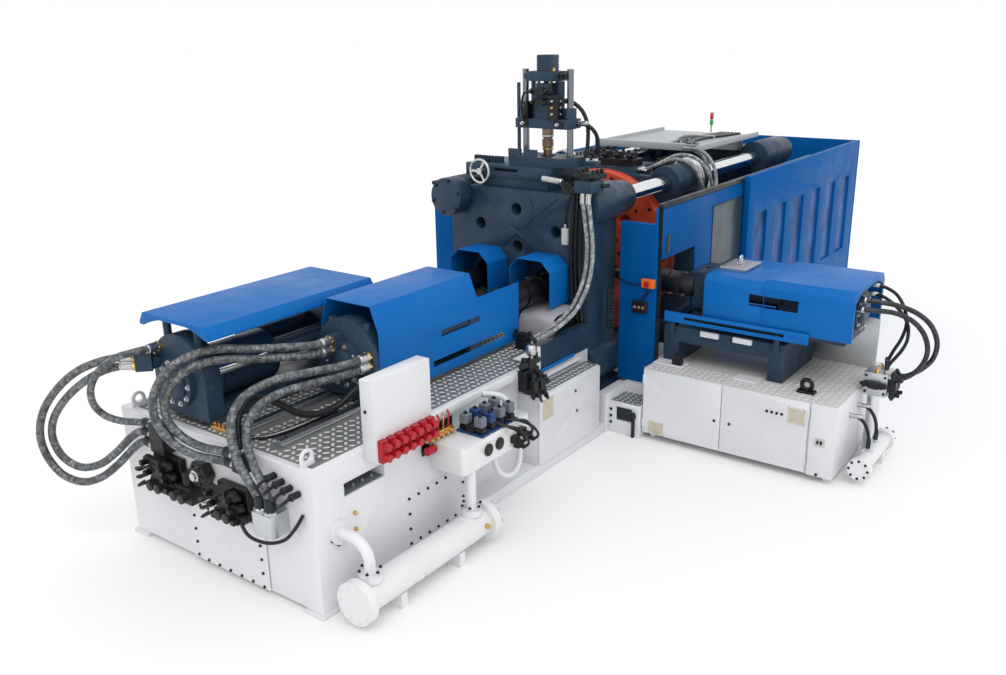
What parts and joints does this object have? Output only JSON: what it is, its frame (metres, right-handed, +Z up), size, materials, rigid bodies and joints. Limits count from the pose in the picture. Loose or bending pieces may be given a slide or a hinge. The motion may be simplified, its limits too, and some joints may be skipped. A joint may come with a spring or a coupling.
{
  "type": "injection molding machine",
  "caption": "Large horizontal injection molding machine with parallel, side and vertical injection units, a rotary table clamp, folded guards and service cabinets.",
  "frame": {"origin": "on the floor, on the machine centreline, under the mould face of the fixed platen", "axes": "+X from the injection end to the clamp end, +Z up, +Y to the left seen from the injection end, so the side unit stands on -Y"},
  "size_m": [10.4847, 5.2909, 3.55],
  "materials": {
    "injection_bed": "satin",
    "deck_plates": "worn",
    "unit_rails": "brushed",
    "hydraulic_valves": "matte",
    "oil_coolers": "satin",
    "cooler_pipes": "satin",
    "filter_box": "satin",
    "terminal_panel": "satin",
    "water_regulators": "gloss",
    "control_cabinet": "satin",
    "control_cabinet_door": "satin",
    "clamp_base": "satin",
    "step_platforms": "satin",
    "fixed_platen": "painted",
    "tie_bars": "polished",
    "tie_bar_caps": "painted",
    "unit_guards": "gloss",
    "purge_shields": "brushed",
    "guard_columns": "gloss",
    "side_guards": "gloss",
    "end_guard": "gloss",
    "guard_windows": "clear",
    "far_door": "gloss",
    "door_rails": "brushed",
    "rear_platen": "painted",
    "clamp_cylinder": "painted",
    "hose_tray": "satin",
    "signal_lamp": "gloss",
    "vertical_base": "painted",
    "vertical_columns": "polished",
    "side_cabinet": "satin",
    "side_base": "painted",
    "side_manifold": "painted",
    "left_carriage": "painted",
    "left_barrel": "brushed",
    "left_cover": "gloss",
    "right_carriage": "painted",
    "right_barrel": "brushed",
    "right_cover": "gloss",
    "side_carriage": "painted",
    "side_barrel": "brushed",
    "side_cover": "gloss",
    "vertical_crosshead": "painted",
    "vertical_barrel": "brushed",
    "moving_platen": "painted",
    "rotary_table": "satin",
    "clamp_ram": "polished",
    "front_door": "gloss",
    "front_door_window": "clear",
    "side_door_left": "satin",
    "side_door_right": "satin",
    "handwheel": "painted",
    "left_unit_hoses": "matte",
    "right_unit_hoses": "matte",
    "side_unit_hoses": "matte",
    "vertical_unit_hoses": "matte",
    "clamp_hoses": "matte",
    "fixed_hoses": "matte"
  },
  "bodies": {
    "frame": {"injection_bed": "injection_bed", "deck_plates": "deck_plates", "unit_rails": "unit_rails", "hydraulic_valves": "hydraulic_valves", "oil_coolers": "oil_coolers", "cooler_pipes": "cooler_pipes", "filter_box": "filter_box", "terminal_panel": "terminal_panel", "water_regulators": "water_regulators", "control_cabinet": "control_cabinet", "clamp_base": "clamp_base", "step_platforms": "step_platforms", "fixed_platen": "fixed_platen", "tie_bars": "tie_bars", "tie_bar_caps": "tie_bar_caps", "unit_guards": "unit_guards", "purge_shields": "purge_shields", "guard_columns": "guard_columns", "side_guards": "side_guards", "end_guard": "end_guard", "guard_windows": "guard_windows", "far_door": "far_door", "door_rails": "door_rails", "rear_platen": "rear_platen", "clamp_cylinder": "clamp_cylinder", "hose_tray": "hose_tray", "signal_lamp": "signal_lamp", "vertical_base": "vertical_base", "vertical_columns": "vertical_columns", "side_cabinet": "side_cabinet", "side_base": "side_base", "side_manifold": "side_manifold", "left_unit_hoses": "left_unit_hoses", "right_unit_hoses": "right_unit_hoses", "side_unit_hoses": "side_unit_hoses", "vertical_unit_hoses": "vertical_unit_hoses", "clamp_hoses": "clamp_hoses", "fixed_hoses": "fixed_hoses"},
    "left_unit": {"left_carriage": "left_carriage", "left_barrel": "left_barrel", "left_cover": "left_cover"},
    "right_unit": {"right_carriage": "right_carriage", "right_barrel": "right_barrel", "right_cover": "right_cover"},
    "side_unit": {"side_carriage": "side_carriage", "side_barrel": "side_barrel", "side_cover": "side_cover"},
    "vertical_unit": {"vertical_crosshead": "vertical_crosshead", "vertical_barrel": "vertical_barrel"},
    "moving_platen": {"moving_platen": "moving_platen", "clamp_ram": "clamp_ram"},
    "rotary_table": {"rotary_table": "rotary_table"},
    "front_door": {"front_door": "front_door", "front_door_window": "front_door_window"},
    "side_door_left": {"side_door_left": "side_door_left"},
    "side_door_right": {"side_door_right": "side_door_right"},
    "control_cabinet_door": {"control_cabinet_door": "control_cabinet_door"},
    "handwheel": {"handwheel": "handwheel"}
  },
  "joints": [
    {"name": "left_unit_slide", "type": "slide", "parent": "frame", "child": "left_unit", "axis": [1, 0, 0], "range_m": [0, 0.33], "deforming": ["left_unit_hoses"]},
    {"name": "right_unit_slide", "type": "slide", "parent": "frame", "child": "right_unit", "axis": [1, 0, 0], "range_m": [-0.35, 0], "deforming": ["right_unit_hoses"]},
    {"name": "side_unit_slide", "type": "slide", "parent": "frame", "child": "side_unit", "axis": [0, 1, 0], "range_m": [-0.3, 0], "deforming": ["side_unit_hoses"]},
    {"name": "vertical_unit_slide", "type": "slide", "parent": "frame", "child": "vertical_unit", "axis": [0, 0, 1], "range_m": [-0.15, 0.25], "deforming": ["vertical_unit_hoses"]},
    {"name": "moving_platen_slide", "type": "slide", "parent": "frame", "child": "moving_platen", "axis": [1, 0, 0], "range_m": [-0.45, 0.55], "deforming": ["clamp_hoses"]},
    {"name": "rotary_table_turn", "type": "hinge", "parent": "moving_platen", "child": "rotary_table", "pos_m": [1, 0, 1.4], "axis": [1, 0, 0], "range_deg": [0, 180]},
    {"name": "front_door_slide", "type": "slide", "parent": "frame", "child": "front_door", "axis": [1, 0, 0], "range_m": [0, 1.75]},
    {"name": "side_door_left_hinge", "type": "hinge", "parent": "frame", "child": "side_door_left", "pos_m": [-0.477, -1.421, 0.39], "axis": [0, 0, -1], "range_deg": [0, 95]},
    {"name": "side_door_right_hinge", "type": "hinge", "parent": "frame", "child": "side_door_right", "pos_m": [-0.477, -3.001, 0.39], "axis": [0, 0, 1], "range_deg": [0, 95]},
    {"name": "control_cabinet_door_hinge", "type": "hinge", "parent": "frame", "child": "control_cabinet_door", "pos_m": [-1.735, -1.077, 0.43], "axis": [0, 0, -1], "range_deg": [0, 100]},
    {"name": "handwheel_turn", "type": "hinge", "parent": "frame", "child": "handwheel", "pos_m": [-0.6, 0.387, 2.46], "axis": [1, 0, 0], "continuous": true}
  ]
}
